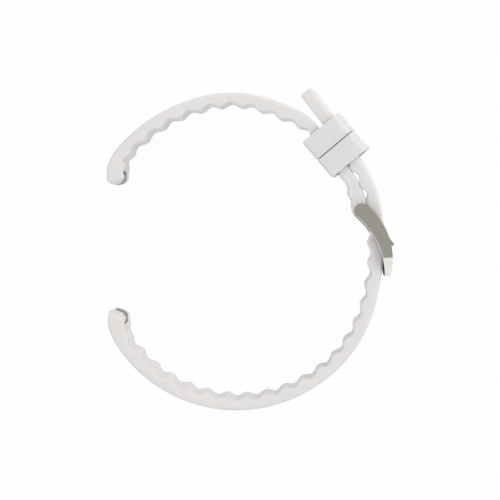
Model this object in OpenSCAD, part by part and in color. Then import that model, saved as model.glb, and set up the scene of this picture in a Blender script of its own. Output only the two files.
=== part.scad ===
// Two-piece rubber watch strap, buckled into a ring, with a steel pin buckle.
//
// The ring lies on its side: Z runs across the strap's width.  Every piece is drawn in the
// clasp frame and place() then turns and centres the whole strap.
//
//   clasp frame: origin on the seam between the two keepers, at their wrist side
//                x towards the buckle, y away from the wrist, z across the width, 0 in the middle

/* [Strap] */
// Width of both halves at the watch
lug_w = 22; // [20:0.5:26]
// Width of both halves at the buckle
strap_w = 18; // [14:0.5:20]
// Thickness of the rubber in a valley of the ribbed wrist face
skin_t = 2.05; // [1.6:0.05:3]
// Height of the ribs on the wrist face
rib_rise = 0.8; // [0.3:0.05:1.2]
// Spacing of the ribs on the tail half, along its outer face
tail_rib_pitch = 4.7; // [4:0.1:6]
// Spacing of the ribs on the buckle half, along its outer face
buckle_rib_pitch = 5; // [4:0.1:6]
// Rounding of the long outer edges
edge_r = 0.7; // [0.2:0.1:1]
// Rounding of the long edges on the wrist side
wrist_edge_r = 0.35; // [0.1:0.05:0.5]

/* [Watch ends] */
// Thickness of both halves at the watch
lug_t = 3.5; // [3.2:0.1:5]
// Length of the smooth stretch before the ribs start
lug_len = 4.5; // [4:0.5:10]
// Width of the recess that takes the watch's own lug
recess_w = 10; // [8:0.5:12]
// Length of that recess, from the end of the strap
recess_len = 3.8; // [3.6:0.1:6]
// Rubber left over the recess on the outer side
recess_skin_t = 0.8; // [0.6:0.1:1.2]
// Distance of the spring bar from the end of the strap
lug_bar_inset = 2.1; // [1.8:0.1:2.6]

/* [Adjustment holes] */
// Number of holes in the tail half
hole_count = 8; // [5:1:9]
// Spacing of the holes
hole_pitch = 7; // [6:0.5:8]
// Length of one oval hole
hole_len = 3.6; // [3:0.1:4.5]
// Width of one oval hole
hole_w = 2.4; // [2.2:0.1:3]

/* [Keepers] */
// Length of each keeper along the strap
keeper_len = 4.9; // [4:0.1:7]
// Thickness of a keeper over and under the straps
keeper_t = 1.45; // [1.2:0.05:2]
// Thickness of a keeper beside the straps
keeper_side_t = 1.75; // [1.2:0.05:2.5]

/* [Buckle] */
// Thickness of each side arm across the width
arm_t = 1.75; // [1.5:0.05:2.5]
// Radius of the arm's rounded end about the bar
arm_eye_r = 1.65; // [1.6:0.05:2.2]
// Radius of the arm's outer edge
arm_outer_r = 14.9; // [14:0.1:17]
// Radius of the arm's inner edge
arm_inner_r = 17; // [16:0.1:19]
// Length of the buckle from the bar to the crossbar's far edge, along the way that edge faces
buckle_len = 14.3; // [13.8:0.1:16]
// Length of the opening between the arms, from the bar
opening_len = 8.5; // [8.3:0.1:8.8]
// Diameter of the spring bar that carries the buckle
buckle_bar_d = 1.5; // [1.3:0.1:1.8]
// Width of the tang
tang_w = 2; // [1.6:0.1:2.4]
// Thickness of the tang
tang_t = 0.85; // [0.7:0.05:1]
// Thickness of the tang's loop round the bar
tang_loop_t = 0.65; // [0.5:0.05:0.8]
// Length of the tang from the bar's axis to its tip
tang_len = 10.4; // [10.2:0.1:11.5]

/* [Spring bars at the watch] */
// Diameter of the tube
lug_bar_d = 1.8; // [1.5:0.1:2]
// Diameter of the pins at its ends
lug_pin_d = 1; // [0.8:0.1:1.1]
// Length of each pin inside the rubber
lug_pin_reach = 1.2; // [0.8:0.1:2]
// Travel of the lever that draws the plunger in
lever_travel = 1.3; // [0.9:0.1:1.5]

/* [Hidden] */
$fn = 48;

// Clearances
side_gap = 0.25;     // beside the straps, in the keepers and between the buckle's arms
floor_gap = 0.25;    // between a keeper's floor and the ribs
strap_gap = 0.3;     // between the two halves where they lie on each other
roof_gap = 0.8;      // between the tail half and a keeper's roof
keeper_gap = 0.15;   // between the two keepers
run_gap = 0.05;      // radial, round pins, bars and plungers
rubber_gap = 0.1;    // radial, round a bar in rubber
rest_gap = 0.3;      // between the crossbar and the tail half
bar_skin_gap = 0.25; // between a watch-end bar and the rubber over it
bar_end_gap = 0.15;  // between a watch-end bar's tube and the rubber beside it
pin_end_gap = 0.3;   // beyond the pins of a spring bar
pin_chamfer = 0.15;  // on the ends of the pins
cut = 1;             // how far a shape runs past what it cuts or into what it joins

// Thickness of the rubber on a rib, and halfway between rib and valley
rib_t = skin_t + rib_rise;
mid_t = skin_t + rib_rise / 2;

// The straps' outer faces at the keepers
buckle_face_y = keeper_t + floor_gap + rib_t;
tail_face_y = buckle_face_y + strap_gap + rib_t;
keeper_h = tail_face_y + roof_gap + keeper_t;

// Bends of the outer faces as [length, radius], 0 for a straight stretch.
// A negative radius turns clockwise.
buckle_up = [[5.5, 0], [6, 13], [6, 50], [14, 26], [23.5, 35], [8.2, 8.6]];
buckle_down = [[5, 0], [13, -22]];
tail_up = [[13.45, 0]];
tail_down = [[5, 0], [12, -23.6], [24, -47.7], [69.5, -30.7], [6.7, -8]];

// Distances along the outer faces from the keepers' seam, towards the watch
buckle_end_s = 63.2;
bar_s = -15.4;
tail_end_s = 117.2;
tip_s = -13.45;
buckle_rib_s = 9.1;
tail_rib_s = 24.7;
first_hole_s = 5.5;
used_hole = 2;

// Rounding of the watch ends, [outer corner, wrist corner]
buckle_end_r = [1.6, 1.5];
tail_end_r = [0.5, 1.6];
tip_plan_r = 1.2;
tip_r = 0.6;

// Turn of the clasp frame in the lying strap
clasp_turn = -52.5;

// ---------------------------------------------------------------- paths

// Pose [x, y, heading] after a distance d along an arc of radius r
function stride(p, d, r) = r == 0
    ? [p[0] + d * cos(p[2]), p[1] + d * sin(p[2]), p[2]]
    : let (a = p[2] + d / r * 180 / PI)
      [p[0] + r * (sin(a) - sin(p[2])), p[1] - r * (cos(a) - cos(p[2])), a];

// Pose after a distance d along a list of bends
function follow(p, bends, d, i = 0) = i == len(bends) - 1 || d <= bends[i][0]
    ? stride(p, d, bends[i][1])
    : follow(stride(p, bends[i][0], bends[i][1]), bends, d - bends[i][0], i + 1);

// Stations [x, y, heading towards the watch, side] on the outer faces; side is 1 where the
// wrist lies to the left of that heading
function buckle_at(s) = s >= 0
    ? concat(follow([0, buckle_face_y, 180], buckle_up, s), 1)
    : let (p = follow([0, buckle_face_y, 0], buckle_down, -s)) [p[0], p[1], p[2] + 180, 1];
function tail_at(s) = s >= 0
    ? concat(follow([0, tail_face_y, 0], tail_down, s), -1)
    : let (p = follow([0, tail_face_y, 180], tail_up, -s)) [p[0], p[1], p[2] - 180, -1];

// Point at a depth below the outer face, and a distance e further along
function below(q, depth, e = 0) = [
    q[0] + e * cos(q[2]) - q[3] * depth * sin(q[2]),
    q[1] + e * sin(q[2]) + q[3] * depth * cos(q[2])
];

function smooth(t) = let (c = min(1, max(0, t))) c * c * (3 - 2 * c);

// How far a rounded corner of radius r stands back at a distance e from the end
function corner(e, r) = e >= r ? 0 : r - sqrt(max(0, r * r - (r - e) * (r - e)));

// ---------------------------------------------------------------- strap sections

// Closed section: outer face at depth d0, wrist face at depth d1, half width w
function section(q, w, d0, d1) = let (
    r = min(edge_r, (d1 - d0) * 0.45, w / 2),
    k = r * (1 - cos(45)),
    f = min(wrist_edge_r, (d1 - d0) * 0.2),
    outline = [
        [-w, d0 + r], [-w + k, d0 + k], [-w + r, d0],
        [w - r, d0], [w - k, d0 + k], [w, d0 + r],
        [w, d1 - f], [w - f, d1], [-w + f, d1], [-w, d1 - f]
    ]
) [for (p = outline) let (b = below(q, p[1])) [b[0], b[1], p[0]]];

// Ribbed wrist face: amount of ribbing goes from 0 to 1
function ribbed(s, first, pitch, amount) = mid_t + rib_rise / 2 * amount * cos(360 * (s - first) / pitch);

// Thickness of the buckle half: loop round the bar, ribs, smooth watch end
loop_r = buckle_bar_d / 2 + run_gap + tang_loop_t;
loop_wrist_r = 0.98 * loop_r; // a little less, so that the first section isn't flat
function buckle_t(s) = let (
    ribs = ribbed(s, buckle_rib_s, buckle_rib_pitch,
        smooth((buckle_end_s - lug_len - s) / 5) * smooth((s - bar_s - 2) / 3)),
    lug = smooth((s - buckle_end_s + lug_len + 4) / 4),
    loop = smooth((bar_s + 4 - s) / 3)
) ribs + (lug_t - ribs) * lug + (2 * loop_r - ribs) * loop;

// Thickness of the tail half: plain tip, ribs, smooth watch end
function tail_t(s) = let (
    ribs = ribbed(s, tail_rib_s, tail_rib_pitch,
        smooth((tail_end_s - lug_len - s) / 5) * smooth((s - keeper_len / 2) / 4)),
    lug = smooth((s - tail_end_s + lug_len + 4) / 4)
) ribs + (lug_t - ribs) * lug;

// Half widths
function buckle_half_w(s) = strap_w / 2 + (lug_w - strap_w) / 2 * smooth((s - keeper_len * 2) / 46);
function tail_half_w(s) = strap_w / 2 + (lug_w - strap_w) / 2 * smooth((s - 58) / 52)
    - corner(s - tip_s, min(tip_plan_r, strap_w * 0.4));

// Distances of the rings along a strap: close together where an end is rounded
round_steps = [for (a = [0:22.5:90]) 1 - cos(a)];
function stations(s0, r0, s1, r1, step) = let (n = ceil((s1 - r1 - s0 - r0) / step)) concat(
    [for (k = round_steps) s0 + r0 * k],
    [for (i = [1:n - 1]) s0 + r0 + (s1 - r1 - s0 - r0) * i / n],
    [for (i = [len(round_steps) - 1:-1:0]) s1 - r1 * round_steps[i]]
);

// Solid through a list of sections; mirrored runs need their faces turned over
module through(rings, turned) {
    n = len(rings[0]);
    m = len(rings);
    sides = [for (i = [0:m - 2], j = [0:n - 1], half = [0, 1])
        let (a = i * n + j, b = i * n + (j + 1) % n)
        half == 0 ? [a, b, b + n] : [a, b + n, a + n]];
    ends = [[for (j = [n - 1:-1:0]) j], [for (j = [0:n - 1]) (m - 1) * n + j]];
    faces = concat(sides, ends);
    polyhedron(
        points = [for (r = rings) each r],
        faces = turned ? [for (f = faces) [for (i = [len(f) - 1:-1:0]) f[i]]] : faces
    );
}

// Everything inside is drawn with x along the strap towards the watch and y towards the
// wrist, from the outer face at station q
module at(q) {
    translate([q[0], q[1], 0])
        rotate([0, 0, q[2]])
            mirror([0, q[3] > 0 ? 0 : 1, 0])
                children();
}

module turned_cylinder(x, y, r, h) {
    translate([x, y, -h / 2])
        cylinder(r = r, h = h);
}

// ---------------------------------------------------------------- watch ends

lug_bar_r = lug_bar_d / 2;
lug_pin_r = lug_pin_d / 2;
lug_bar_depth = recess_skin_t + bar_skin_gap + lug_bar_r;
lug_bar_len = recess_w - 2 * bar_end_gap;
nail_slot = [1.5, 4.6];       // along the strap, across it
nail_slot_inset = 2.9;        // from the end of the strap
lever_d = 0.7;
lever_out = 0.75;             // how far the lever stands out of the tube

// Recess and nail slot of a watch end whose outer face bends with radius bend_r
module lug_cuts(end, bend_r) {
    at(end) {
        intersection() {
            translate([-recess_len, 0, -recess_w / 2])
                cube([recess_len + cut, lug_t + cut, recess_w]);
            turned_cylinder(0, bend_r, bend_r - recess_skin_t, recess_w, $fn = 96);
        }
        translate([-nail_slot_inset - nail_slot[0], lug_bar_depth, recess_w / 2 - cut])
            cube([nail_slot[0], lug_t + cut, nail_slot[1]]);
    }
}

// Blind bores for the pins of the spring bar at p
module lug_pin_bores(p) {
    turned_cylinder(p[0], p[1], lug_pin_r + rubber_gap, recess_w + 2 * (lug_pin_reach + pin_end_gap));
}

// ---------------------------------------------------------------- rubber halves

module buckle_strap() {
    color([0.93, 0.92, 0.91])
    difference() {
        through([
            for (s = stations(bar_s - loop_r, loop_r, buckle_end_s, max(buckle_end_r), buckle_rib_pitch / 8))
                let (from_bar = s - bar_s + loop_r, from_end = buckle_end_s - s)
                section(buckle_at(s), buckle_half_w(s),
                    corner(from_bar, loop_r) + corner(from_end, buckle_end_r[0]),
                    buckle_t(s) - corner(from_bar, loop_wrist_r) - corner(from_end, buckle_end_r[1]))
        ], false);
        lug_cuts(buckle_at(buckle_end_s), buckle_up[len(buckle_up) - 1][1]);
        lug_pin_bores(buckle_lug_bar());
        at(buckle_at(bar_s)) {
            turned_cylinder(0, loop_r, buckle_bar_d / 2 + rubber_gap, strap_w + 2 * cut);
            translate([-loop_r - cut, -cut, -tang_w / 2 - side_gap])
                cube([tang_slot_len + loop_r + cut, 3 * loop_r + cut, tang_w + 2 * side_gap]);
        }
    }
}

module oval(len, width) {
    square([len - width, width], center = true);
    for (side = [-1, 1])
        translate([side * (len - width) / 2, 0])
            circle(d = width);
}

module tail_strap() {
    color([0.93, 0.92, 0.91])
    difference() {
        through([
            for (s = stations(tip_s, tip_plan_r, tail_end_s, max(tail_end_r), tail_rib_pitch / 8))
                let (from_tip = s - tip_s, from_end = tail_end_s - s)
                section(tail_at(s), tail_half_w(s),
                    corner(from_tip, tip_r) + corner(from_end, tail_end_r[0]),
                    tail_t(s) - corner(from_tip, tip_r) - corner(from_end, tail_end_r[1]))
        ], true);
        lug_cuts(tail_at(tail_end_s), -tail_down[len(tail_down) - 1][1]);
        lug_pin_bores(tail_lug_bar());
        for (i = [0:hole_count - 1])
            if (i != used_hole)
                at(tail_at(first_hole_s + i * hole_pitch))
                    rotate([-90, 0, 0])
                        translate([0, 0, -cut])
                            linear_extrude(rib_t + 2 * cut)
                                oval(hole_len, hole_w);
        tang_way();
    }
}

// ---------------------------------------------------------------- buckle

bar = below(buckle_at(bar_s), loop_r);
arm_gap = strap_w + 2 * side_gap;
buckle_w = arm_gap + 2 * arm_t;
arm_outer_lean = -76.1;
arm_inner_lean = -77.6;
edge_lean = -34;              // way that the crossbar's far edge faces
opening_lean = -28;           // way that the opening's end faces
corner_cut = [4, 2.6];        // chamfer of the buckle's far corners, along and across
bar_pin_r = 0.42;
bar_pin_reach = 0.9;

// Side view of the buckle, from the rounded end about the bar to the crossbar's far edge
module buckle_side() {
    difference() {
        intersection() {
            translate((arm_outer_r - arm_eye_r) * [cos(arm_outer_lean), sin(arm_outer_lean)])
                circle(r = arm_outer_r, $fn = 180);
            translate([0, -buckle_len])
                square([2 * buckle_len, 2 * buckle_len]);
            rotate(edge_lean)
                translate([-buckle_len, -buckle_len])
                    square([2 * buckle_len, 2 * buckle_len]);
        }
        translate((arm_inner_r + arm_eye_r) * [cos(arm_inner_lean), sin(arm_inner_lean)])
            circle(r = arm_inner_r, $fn = 180);
    }
    circle(r = arm_eye_r);
}

// Centre and radius of the tail half's outer face where it passes under the crossbar
under_bend = 2;
under_start = follow([0, tail_face_y, 0], tail_down, tail_down[0][0] + tail_down[1][0]);
under_r = -tail_down[under_bend][1];
under_centre = [
    under_start[0] + under_r * sin(under_start[2]),
    under_start[1] - under_r * cos(under_start[2])
];

module buckle_frame() {
    color([0.62, 0.61, 0.58])
    difference() {
        translate([bar[0], bar[1], -buckle_w / 2])
            linear_extrude(buckle_w)
                buckle_side();
        translate([bar[0], bar[1], -arm_gap / 2])
            rotate([0, 0, opening_lean])
                translate([-buckle_len, -buckle_len, 0])
                    cube([buckle_len + opening_len, 2 * buckle_len, arm_gap]);
        turned_cylinder(under_centre[0], under_centre[1], under_r + rest_gap, arm_gap, $fn = 360);
        turned_cylinder(bar[0], bar[1], bar_pin_r + run_gap, arm_gap + 2 * (bar_pin_reach + pin_end_gap));
        for (side = [-1, 1])
            translate([bar[0], bar[1], side * buckle_w / 2])
                rotate([0, 0, edge_lean])
                    translate([buckle_len, 0, 0])
                        rotate([90, 0, 0])
                            linear_extrude(2 * buckle_len, center = true)
                                polygon([
                                    [-corner_cut[0], 0], [0, -side * corner_cut[1]],
                                    [cut, -side * corner_cut[1]], [cut, side * cut],
                                    [-corner_cut[0], side * cut]
                                ]);
    }
}

tang_slot_len = 4;            // cut into the rubber for the tang, from the bar
tang_lean = -1.8;
tang_low = loop_r - tang_loop_t;
tang_top = tang_low + tang_t; // from the bar's axis to the tang's two faces
tang_heel_r = 0.6;
tang_swing = [-1.5, 8];       // angles from rest that the hole in use leaves free

module tang_side() {
    difference() {
        union() {
            circle(r = loop_r);
            rotate(tang_lean)
                translate([0, tang_low]) {
                    square([tang_len, tang_t - tang_heel_r]);
                    translate([tang_heel_r, 0])
                        square([tang_len - tang_heel_r, tang_t]);
                    translate([tang_heel_r, tang_t - tang_heel_r])
                        circle(r = tang_heel_r);
                }
        }
        circle(r = buckle_bar_d / 2 + run_gap);
    }
}

module buckle_tang() {
    color([0.72, 0.71, 0.68])
    translate([bar[0], bar[1], 0])
    intersection() {
        linear_extrude(tang_w, center = true)
            tang_side();
        rotate([-90, 0, 0])
            linear_extrude(4 * loop_r, center = true) {
                translate([-2 * loop_r, -tang_w / 2])
                    square([2 * loop_r + tang_len - tang_w / 2, tang_w]);
                translate([tang_len - tang_w / 2, 0])
                    circle(d = tang_w);
            }
    }
}

// Room in the tail half for the tang, as the rubber is pushed aside by it
module tang_way() {
    reach = tang_len + cut;
    low = tang_lean + tang_swing[0];
    high = tang_lean + tang_swing[1];
    slack = strap_gap / 2;
    translate([bar[0], bar[1], -hole_w / 2])
        linear_extrude(hole_w)
            polygon([
                (tang_low - slack) * [-sin(low), cos(low)],
                (tang_low - slack) * [-sin(low), cos(low)] + reach * [cos(low), sin(low)],
                (tang_top + slack) * [-sin(high), cos(high)] + reach * [cos(high), sin(high)],
                (tang_top + slack) * [-sin(high), cos(high)]
            ]);
}

// ---------------------------------------------------------------- keepers

// Rectangle from y0 to y1 with rounded corners, r0 at y0 and r1 at y1
module rounded_band(w, y0, y1, r0, r1) {
    polygon([
        [-w / 2 + r0, y0], [w / 2 - r0, y0], [w / 2, y0 + r0], [w / 2, y1 - r1],
        [w / 2 - r1, y1], [-w / 2 + r1, y1], [-w / 2, y1 - r1], [-w / 2, y0 + r0]
    ]);
    for (side = [-1, 1]) {
        translate([side * (w / 2 - r0), y0 + r0])
            circle(r = r0);
        translate([side * (w / 2 - r1), y1 - r1])
            circle(r = r1);
    }
}

keeper_w = strap_w + 2 * (side_gap + keeper_side_t);
keeper_top_r = 1.8;
keeper_bottom_r = 0.8;
keeper_inner_r = [0.4, 0.8];

module keeper(x) {
    translate([x, 0, 0])
        rotate([0, 90, 0])
            linear_extrude(keeper_len)
                difference() {
                    rounded_band(keeper_w, 0, keeper_h, keeper_bottom_r, keeper_top_r);
                    rounded_band(strap_w + 2 * side_gap, keeper_t, keeper_h - keeper_t,
                        keeper_inner_r[0], keeper_inner_r[1]);
                }
}

// Valley of the buckle half's ribs under the fixed keeper
seat_s = buckle_rib_s - 2.5 * buckle_rib_pitch;
seat_rib = [0.9, floor_gap + rib_rise - 0.35]; // along the strap, up from the keeper's floor

module fixed_keeper() {
    color([0.91, 0.9, 0.89]) {
        keeper(keeper_gap / 2);
        translate([-seat_s - seat_rib[0] / 2, keeper_t - cut, -strap_w / 4])
            cube([seat_rib[0], cut + seat_rib[1], strap_w / 2]);
    }
}

module free_keeper() {
    color([0.91, 0.9, 0.89])
        keeper(-keeper_gap / 2 - keeper_len);
}

// ---------------------------------------------------------------- spring bars

// Revolved piece on an axis parallel to z, from [radius, z] points
module spun(p, outline) {
    translate([p[0], p[1], 0])
        rotate_extrude()
            polygon(outline);
}

// Coil spring of round wire from z0 to z1 as one unbroken tube
module coil(p, r, wire_r, z0, z1, turns) {
    per_turn = 8;
    sides = 6;
    n = turns * per_turn;
    rise = (z1 - z0 - 2 * wire_r) / n;
    rings = [for (i = [0:n]) let (a = 360 * i / per_turn, z = z0 + wire_r + rise * i)
        [for (k = [0:sides - 1]) let (b = 360 * k / sides, q = r + wire_r * cos(b))
            [p[0] + q * cos(a), p[1] + q * sin(a), z + wire_r * sin(b)]]];
    through(rings, false);
}

// Bar that carries the buckle
bar_tip_travel = 1;
flange_t = 0.35;
end_gap = 0.05;
bar_r = buckle_bar_d / 2;
bar_bore_r = bar_r - 0.2;
bar_mouth_r = 0.42;
tube_half = arm_gap / 2 - end_gap - flange_t - bar_tip_travel - end_gap;
mouth_t = 0.4;
head_z = tube_half - mouth_t - end_gap;
head_len = 1;

module buckle_bar_tube() {
    color([0.7, 0.7, 0.68])
    spun(bar, [
        [bar_mouth_r, -tube_half], [bar_r, -tube_half], [bar_r, tube_half], [bar_mouth_r, tube_half],
        [bar_mouth_r, tube_half - mouth_t], [bar_bore_r, tube_half - mouth_t],
        [bar_bore_r, mouth_t - tube_half], [bar_mouth_r, mouth_t - tube_half]
    ]);
}

// Tip with its head held inside the tube, a neck, a flange and the pin in the arm
module bar_tip(side) {
    neck_r = bar_mouth_r - run_gap;
    head_r = bar_bore_r - run_gap;
    flange_z = arm_gap / 2 - end_gap - flange_t;
    pin_z = arm_gap / 2 + bar_pin_reach;
    color([0.66, 0.66, 0.64])
    translate([bar[0], bar[1], 0])
        mirror([0, 0, side > 0 ? 0 : 1])
            rotate_extrude()
                polygon([
                    [0, head_z - head_len], [head_r, head_z - head_len], [head_r, head_z],
                    [neck_r, head_z], [neck_r, flange_z], [bar_r, flange_z],
                    [bar_r, flange_z + flange_t], [bar_pin_r, flange_z + flange_t],
                    [bar_pin_r, pin_z - pin_chamfer], [bar_pin_r - pin_chamfer, pin_z], [0, pin_z]
                ]);
}

module buckle_bar_upper_tip() {
    bar_tip(1);
}

module buckle_bar_lower_tip() {
    bar_tip(-1);
}

spring_wire_r = 0.09;

module buckle_bar_spring() {
    color([0.55, 0.55, 0.55])
        coil(bar, bar_bore_r - spring_wire_r - 0.08, spring_wire_r,
            head_len - head_z + end_gap, head_z - head_len - end_gap, 14);
}

// Quick-release bars of the watch ends; hand is the side of the plunger and its lever
lug_bore_r = lug_bar_r - 0.25;
lug_mouth_r = lug_pin_r + run_gap;
plunger_len = 3.2;
plug_len = 1.5;
lever_seat_r = 0.1;
lever_z = lug_bar_len / 2 - 1.9;

function buckle_lug_bar() = below(buckle_at(buckle_end_s - lug_bar_inset), lug_bar_depth);
function tail_lug_bar() = below(tail_at(tail_end_s - lug_bar_inset), lug_bar_depth);

module lug_tube(p, q) {
    half = lug_bar_len / 2;
    color([0.7, 0.7, 0.68])
    difference() {
        spun(p, [
            [lug_pin_r, -half], [lug_bar_r, -half], [lug_bar_r, half], [lug_mouth_r, half],
            [lug_mouth_r, half - mouth_t], [lug_bore_r, half - mouth_t],
            [lug_bore_r, plug_len - half], [lug_pin_r, plug_len - half]
        ]);
        translate([p[0], p[1], 0])
            rotate([0, 0, lever_angle(q)])
                translate([0, -lever_d / 2 - run_gap, lever_z - lever_travel - lever_d / 2 - run_gap])
                    cube([lug_bar_d, lever_d + 2 * run_gap, lever_travel + lever_d + 2 * run_gap]);
    }
}

// Direction from the bar towards the wrist
function lever_angle(q) = q[2] + q[3] * 90;

module lug_pin(p) {
    half = lug_bar_len / 2;
    reach = recess_w / 2 + lug_pin_reach;
    color([0.66, 0.66, 0.64])
    spun(p, [
        [0, -reach], [lug_pin_r - pin_chamfer, -reach], [lug_pin_r, pin_chamfer - reach],
        [lug_pin_r, plug_len - half], [0, plug_len - half]
    ]);
}

module lug_plunger(p, q) {
    half = lug_bar_len / 2;
    reach = recess_w / 2 + lug_pin_reach;
    head = half - mouth_t - end_gap;
    color([0.66, 0.66, 0.64])
    difference() {
        spun(p, [
            [0, head - plunger_len], [lug_bore_r - run_gap, head - plunger_len], [lug_bore_r - run_gap, head],
            [lug_pin_r, head], [lug_pin_r, reach - pin_chamfer], [lug_pin_r - pin_chamfer, reach], [0, reach]
        ]);
        lever_stem(p, q, cut);
    }
}

// Round stem set into the plunger and standing out of the tube's slot by more
module lever_stem(p, q, more) {
    translate([p[0], p[1], lever_z])
        rotate([0, 0, lever_angle(q)])
            rotate([0, 90, 0])
                translate([0, 0, lever_seat_r])
                    cylinder(d = lever_d, h = lug_bar_r - lever_seat_r + more);
}

module lug_lever(p, q) {
    color([0.6, 0.6, 0.58])
        lever_stem(p, q, lever_out);
}

module lug_spring(p) {
    half = lug_bar_len / 2;
    color([0.55, 0.55, 0.55])
        coil(p, lug_bore_r - spring_wire_r - 0.08, spring_wire_r,
            plug_len - half + end_gap, half - mouth_t - end_gap - plunger_len - end_gap, 8);
}

module buckle_end_bar_tube() {
    lug_tube(buckle_lug_bar(), buckle_at(buckle_end_s - lug_bar_inset));
}

module buckle_end_bar_pin() {
    lug_pin(buckle_lug_bar());
}

module buckle_end_bar_plunger() {
    lug_plunger(buckle_lug_bar(), buckle_at(buckle_end_s - lug_bar_inset));
}

module buckle_end_bar_lever() {
    lug_lever(buckle_lug_bar(), buckle_at(buckle_end_s - lug_bar_inset));
}

module buckle_end_bar_spring() {
    lug_spring(buckle_lug_bar());
}

module tail_end_bar_tube() {
    lug_tube(tail_lug_bar(), tail_at(tail_end_s - lug_bar_inset));
}

module tail_end_bar_pin() {
    lug_pin(tail_lug_bar());
}

module tail_end_bar_plunger() {
    lug_plunger(tail_lug_bar(), tail_at(tail_end_s - lug_bar_inset));
}

module tail_end_bar_lever() {
    lug_lever(tail_lug_bar(), tail_at(tail_end_s - lug_bar_inset));
}

module tail_end_bar_spring() {
    lug_spring(tail_lug_bar());
}

// ---------------------------------------------------------------- placing

// Outline points that can be the outermost ones, turned as they lie
function lying(p) = [
    p[0] * cos(clasp_turn) - p[1] * sin(clasp_turn),
    p[0] * sin(clasp_turn) + p[1] * cos(clasp_turn)
];
tang_tip = [
    bar[0] + tang_len * cos(tang_lean) - tang_top * sin(tang_lean),
    bar[1] + tang_len * sin(tang_lean) + tang_top * cos(tang_lean)
];
rim = [for (p = concat(
    [for (s = [0:0.25:buckle_end_s - 1]) buckle_at(s)],
    [for (s = [tip_s + tip_r:0.25:tail_end_s]) tail_at(s)],
    [below(tail_at(tip_s), tip_r)],
    [tang_tip]
)) lying(p)];
rim_x = [for (p = rim) p[0]];
rim_y = [for (p = rim) p[1]];
centre = [(min(rim_x) + max(rim_x)) / 2, (min(rim_y) + max(rim_y)) / 2];
full_w = max(lug_w, keeper_w, buckle_w);

module place() {
    translate([-centre[0], -centre[1], full_w / 2])
        rotate([0, 0, clasp_turn])
            children();
}

place() buckle_strap();
place() tail_strap();
place() fixed_keeper();
place() free_keeper();
place() buckle_frame();
place() buckle_tang();
place() buckle_bar_tube();
place() buckle_bar_upper_tip();
place() buckle_bar_lower_tip();
place() buckle_bar_spring();
place() buckle_end_bar_tube();
place() buckle_end_bar_pin();
place() buckle_end_bar_plunger();
place() buckle_end_bar_lever();
place() buckle_end_bar_spring();
place() tail_end_bar_tube();
place() tail_end_bar_pin();
place() tail_end_bar_plunger();
place() tail_end_bar_lever();
place() tail_end_bar_spring();
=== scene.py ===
"""Looks of a two-piece rubber watch strap with a steel pin buckle.

Every new piece is modelled in millimetres in the clasp frame: origin on the seam between the two
keepers at their wrist side, x towards the buckle, y away from the wrist, z across the strap.
``hand_over`` then turns it into the lying strap's frame, in metres.
"""

import logging
from collections.abc import Callable, Iterator, Mapping, Sequence
from dataclasses import dataclass
from enum import Enum
from math import ceil, cos, degrees, hypot, pi, radians, sin, sqrt, tan

import bmesh
import bpy
from mathutils import Matrix, Vector


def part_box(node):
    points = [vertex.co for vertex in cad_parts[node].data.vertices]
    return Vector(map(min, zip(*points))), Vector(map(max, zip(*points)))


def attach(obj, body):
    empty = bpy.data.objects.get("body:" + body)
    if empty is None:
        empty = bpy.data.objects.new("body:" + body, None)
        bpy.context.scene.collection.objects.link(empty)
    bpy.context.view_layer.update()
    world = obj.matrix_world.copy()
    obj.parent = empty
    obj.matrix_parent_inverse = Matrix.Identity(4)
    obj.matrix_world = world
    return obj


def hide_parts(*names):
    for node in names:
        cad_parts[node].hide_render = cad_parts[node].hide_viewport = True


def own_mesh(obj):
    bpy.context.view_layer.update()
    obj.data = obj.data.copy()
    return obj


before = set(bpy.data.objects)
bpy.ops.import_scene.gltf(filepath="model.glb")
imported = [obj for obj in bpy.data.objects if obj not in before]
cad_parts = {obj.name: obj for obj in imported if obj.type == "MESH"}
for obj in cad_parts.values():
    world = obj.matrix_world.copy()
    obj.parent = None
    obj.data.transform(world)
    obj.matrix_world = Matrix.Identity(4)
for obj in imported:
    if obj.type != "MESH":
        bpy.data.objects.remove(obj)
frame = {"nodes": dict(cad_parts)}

LOG = logging.getLogger("strap")
OPS = bpy.ops.mesh

MM = 0.001
CLASP_TURN = radians(-52.5)
BAR_AXIS = (14.3567, 0.846278)  # the buckle's bar in the clasp frame
SAME = 1e-4  # places that are nearer than this along an axis are level
CLOSE = 0.01  # a corner that is nearer than this to a face belongs to it

Spot = tuple[float, float]
Point = tuple[float, float, float]
Colour = tuple[float, float, float, float]
Piece = bpy.types.Object
Node = bpy.types.Node
Socket = bpy.types.NodeSocket
Outputs = bpy.types.NodeOutputs


# ---- bench


class Shape(Enum):
    """Primitives that a piece starts from."""

    PLANE = "plane"
    CUBE = "cube"
    CYLINDER = "cylinder"


def deselect() -> None:
    """Leave edit mode and deselect everything."""
    if bpy.context.object is not None and bpy.context.object.mode != "OBJECT":
        bpy.ops.object.mode_set(mode="OBJECT")
    bpy.ops.object.select_all(action="DESELECT")


def take(obj: Piece) -> None:
    """Make one object the selected and active one.

    Args:
        obj: The object.
    """
    deselect()
    obj.select_set(True)
    bpy.context.view_layer.objects.active = obj


def start(name: str, shape: Shape, size: Point, at: Point, turn: Point = (0, 0, 0), sides: int = 32) -> Piece:
    """Add a primitive at its size and place.

    Args:
        name: Name of the new object.
        shape: The primitive.
        size: Extent along x, y and z; a cylinder takes its diameters and its length.
        at: Its middle.
        turn: Rotation about x, y and z, in radians.
        sides: Sides of a cylinder.

    Returns:
        The object, with its transforms applied.
    """
    deselect()
    if shape is Shape.PLANE:
        OPS.primitive_plane_add(size=1, location=at, rotation=turn)
    elif shape is Shape.CUBE:
        OPS.primitive_cube_add(size=1, location=at, rotation=turn)
    else:
        OPS.primitive_cylinder_add(vertices=sides, radius=0.5, depth=1, location=at, rotation=turn)
    obj = bpy.context.object
    obj.name = obj.data.name = name
    obj.scale = size
    bpy.ops.object.transform_apply(location=True, rotation=True, scale=True)
    return obj


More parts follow.
